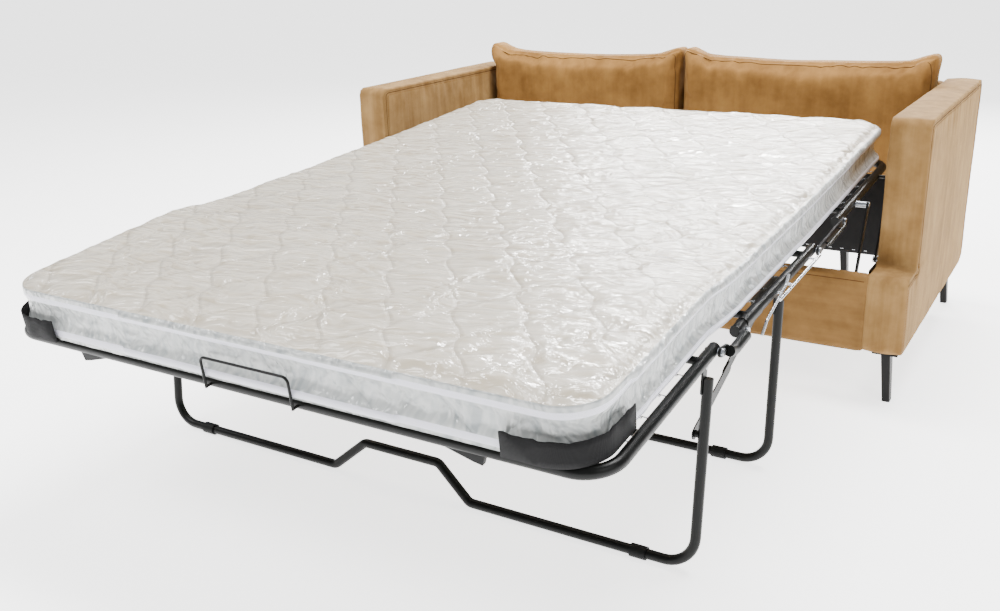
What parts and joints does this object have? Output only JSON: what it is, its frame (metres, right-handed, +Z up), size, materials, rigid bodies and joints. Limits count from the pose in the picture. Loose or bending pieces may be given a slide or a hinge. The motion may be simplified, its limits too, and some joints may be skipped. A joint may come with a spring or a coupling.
{
  "type": "sleeper sofa",
  "caption": "Sleeper sofa with box arms and loose back cushions, opened into a folding tube-frame bed whose mattress reaches out over the front rail.",
  "frame": {"origin": "centre of the footprint, on the floor, with the bed open", "axes": "+X to the right seen from the foot of the bed, +Y from the foot of the bed to the sofa's back, +Z up"},
  "size_m": [1.8, 2.3578, 0.8],
  "materials": {
    "tan_fabric": "soft velvet with a vertical nap",
    "timber": "raw sawn timber",
    "black_cloth": "woven cloth",
    "black_metal": "semi-gloss powder coat",
    "zinc_steel": "bright zinc plate",
    "black_plastic": "moulded plastic",
    "ticking": "quilted ticking under clear film"
  },
  "bodies": {
    "sofa": {"arm_cover_left": "tan_fabric", "arm_cover_right": "tan_fabric", "arm_frame_left": "timber", "arm_frame_right": "timber", "front_rail_cover": "tan_fabric", "front_rail_board": "timber", "back_cover": "tan_fabric", "back_frame": "timber", "back_lining": "black_cloth", "sofa_leg_front_left": "black_metal", "sofa_leg_front_right": "black_metal", "sofa_leg_rear_left": "black_metal", "sofa_leg_rear_right": "black_metal", "sofa_leg_inner": "black_metal", "leg_plates": "zinc_steel", "leg_screws": "zinc_steel", "side_bracket_left": "black_metal", "side_bracket_right": "black_metal", "bracket_pins": "zinc_steel"},
    "front_links": {"swing_link_front_left": "black_metal", "swing_link_front_right": "black_metal"},
    "rear_links": {"swing_link_rear_left": "black_metal", "swing_link_rear_right": "black_metal"},
    "head_section": {"head_frame": "black_metal", "head_deck": "black_cloth", "head_springs": "zinc_steel", "head_pins": "zinc_steel", "mattress_head": "ticking"},
    "front_turn": {"turn_link_front_left": "black_metal", "turn_link_front_right": "black_metal", "mattress_front_turn": "ticking"},
    "mid_section": {"mid_frame": "black_metal", "mid_deck": "black_cloth", "mid_springs": "zinc_steel", "mid_pins": "zinc_steel", "mid_bracket_left": "black_metal", "mid_bracket_right": "black_metal", "control_rods": "zinc_steel", "lock_levers": "zinc_steel", "mattress_mid": "ticking"},
    "foot_turn": {"turn_link_foot_left": "black_metal", "turn_link_foot_right": "black_metal", "mattress_foot_turn": "ticking"},
    "foot_section": {"foot_frame": "black_metal", "foot_deck": "black_cloth", "foot_springs": "zinc_steel", "foot_pins": "zinc_steel", "corner_pockets": "black_cloth", "corner_wedges": "black_metal", "mattress_retainer": "black_metal", "mattress_foot": "ticking"},
    "foot_leg": {"foot_leg": "black_metal", "foot_leg_glides": "black_plastic"},
    "mid_leg": {"mid_leg": "black_metal", "mid_leg_glides": "black_plastic"},
    "lower_braces": {"lower_braces": "black_metal"},
    "upper_braces": {"upper_braces": "black_metal"},
    "cushion_left": {"back_cushion_left": "tan_fabric"},
    "cushion_right": {"back_cushion_right": "tan_fabric"}
  },
  "joints": [
    {"name": "bed_fold", "type": "hinge", "parent": "sofa", "child": "front_links", "pos_m": [0, 0.2693, 0.29249], "axis": [-1, 0, 0], "range_deg": [0, 112.44]},
    {"name": "rear_swing", "type": "hinge", "parent": "sofa", "child": "rear_links", "pos_m": [0, 0.52284, 0.3], "axis": [-1, 0, 0], "range_deg": [0, 108.46]},
    {"name": "head_tilt", "type": "hinge", "parent": "front_links", "child": "head_section", "pos_m": [0, 0.35497, 0.49512], "axis": [1, 0, 0], "range_deg": [0, 108.39]},
    {"name": "front_turn", "type": "hinge", "parent": "head_section", "child": "front_turn", "pos_m": [0, 0.20534, 0.48453], "axis": [-1, 0, 0], "range_deg": [0, 90.02]},
    {"name": "mid_turn", "type": "hinge", "parent": "front_turn", "child": "mid_section", "pos_m": [0, -0.02807, 0.468], "axis": [-1, 0, 0], "range_deg": [0, 88.72]},
    {"name": "foot_turn", "type": "hinge", "parent": "mid_section", "child": "foot_turn", "pos_m": [0, -0.54907, 0.44298], "axis": [-1, 0, 0], "range_deg": [0, 36.87]},
    {"name": "foot_fold", "type": "hinge", "parent": "foot_turn", "child": "foot_section", "pos_m": [0, -0.69095, 0.44892], "axis": [-1, 0, 0], "range_deg": [0, 148.6], "deforming": ["mattress_head", "mattress_front_turn", "mattress_mid", "mattress_foot_turn", "mattress_foot"]},
    {"name": "foot_leg_fold", "type": "hinge", "parent": "foot_section", "child": "foot_leg", "pos_m": [0, -0.70217, 0.42256], "axis": [-1, 0, 0], "range_deg": [0, 77.83]},
    {"name": "mid_leg_fold", "type": "hinge", "parent": "mid_section", "child": "mid_leg", "pos_m": [0, -0.24462, 0.43257], "axis": [-1, 0, 0], "range_deg": [0, 84.75]},
    {"name": "lower_brace_fold", "type": "hinge", "parent": "foot_leg", "child": "lower_braces", "pos_m": [0, -0.71651, 0.286], "axis": [-1, 0, 0], "range_deg": [0, 118.03]},
    {"name": "upper_brace_fold", "type": "hinge", "parent": "mid_section", "child": "upper_braces", "pos_m": [0, -0.36586, 0.41373], "axis": [-1, 0, 0], "range_deg": [0, 17.29]},
    {"name": "back_cushion_left_lift", "type": "slide", "parent": "sofa", "child": "cushion_left", "axis": [0, 0, 1], "range_m": [0, 0.4]},
    {"name": "back_cushion_right_lift", "type": "slide", "parent": "sofa", "child": "cushion_right", "axis": [0, 0, 1], "range_m": [0, 0.4]}
  ],
  "couplings": [
    {"joint": "bed_fold", "follows": "foot_fold", "ratio": 0.75655},
    {"joint": "rear_swing", "follows": "foot_fold", "ratio": 0.72976},
    {"joint": "head_tilt", "follows": "foot_fold", "ratio": 0.72929},
    {"joint": "front_turn", "follows": "foot_fold", "ratio": 0.60565},
    {"joint": "mid_turn", "follows": "foot_fold", "ratio": 0.5969},
    {"joint": "foot_turn", "follows": "foot_fold", "ratio": 0.24798},
    {"joint": "foot_leg_fold", "follows": "foot_fold", "ratio": 0.52358},
    {"joint": "mid_leg_fold", "follows": "foot_fold", "ratio": 0.57016},
    {"joint": "lower_brace_fold", "follows": "foot_fold", "ratio": 0.79415},
    {"joint": "upper_brace_fold", "follows": "foot_fold", "ratio": 0.11619}
  ]
}
